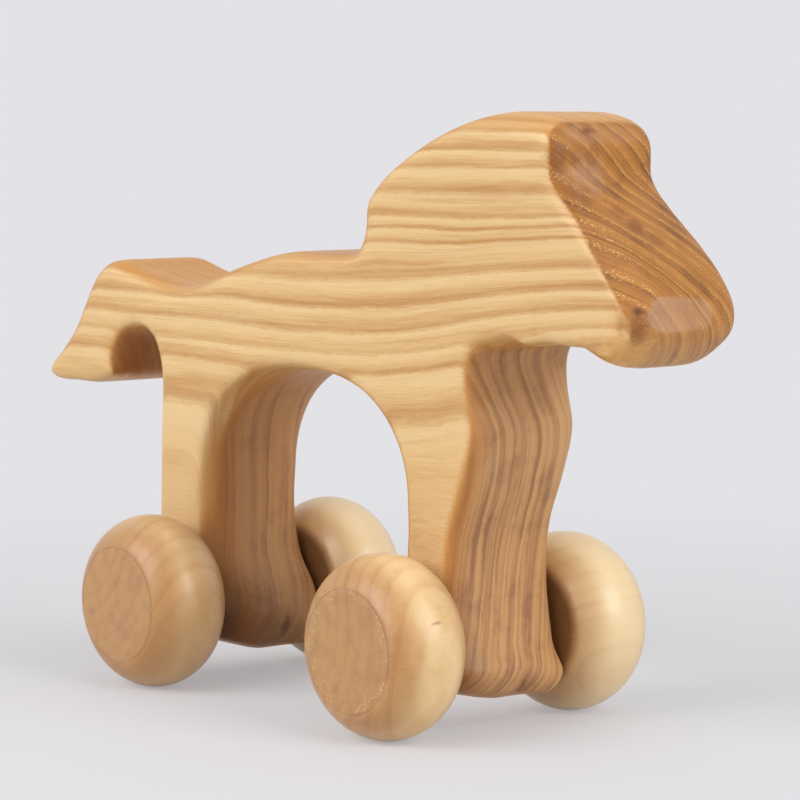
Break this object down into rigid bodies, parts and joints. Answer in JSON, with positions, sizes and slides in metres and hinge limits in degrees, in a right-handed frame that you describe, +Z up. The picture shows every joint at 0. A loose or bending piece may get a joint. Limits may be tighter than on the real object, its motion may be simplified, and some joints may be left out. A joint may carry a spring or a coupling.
{
  "type": "wheeled horse toy",
  "caption": "Wooden push toy: a horse sawn from one rounded board, rolling on turned wooden wheels glued to dowel axles that turn in its legs.",
  "frame": {"origin": "on the floor, below the middle of the overall length, in the middle of the board", "axes": "+X towards the nose, +Y towards the horse's left side along the axles, +Z up"},
  "size_m": [0.1802, 0.0654, 0.1164],
  "materials": {
    "ash": "sanded and oiled, satin",
    "birch": "turned and oiled, satin",
    "beech": "plain dowel"
  },
  "bodies": {
    "horse": {"horse_body": "ash"},
    "front_wheelset": {"front_axle": "beech", "front_left_wheel": "birch", "front_right_wheel": "birch"},
    "rear_wheelset": {"rear_axle": "beech", "rear_left_wheel": "birch", "rear_right_wheel": "birch"}
  },
  "joints": [
    {"name": "front_axle_spin", "type": "hinge", "parent": "horse", "child": "front_wheelset", "pos_m": [0.0345, 0, 0.0175], "axis": [0, 1, 0], "continuous": true},
    {"name": "rear_axle_spin", "type": "hinge", "parent": "horse", "child": "rear_wheelset", "pos_m": [-0.0375, 0, 0.0175], "axis": [0, 1, 0], "continuous": true}
  ]
}
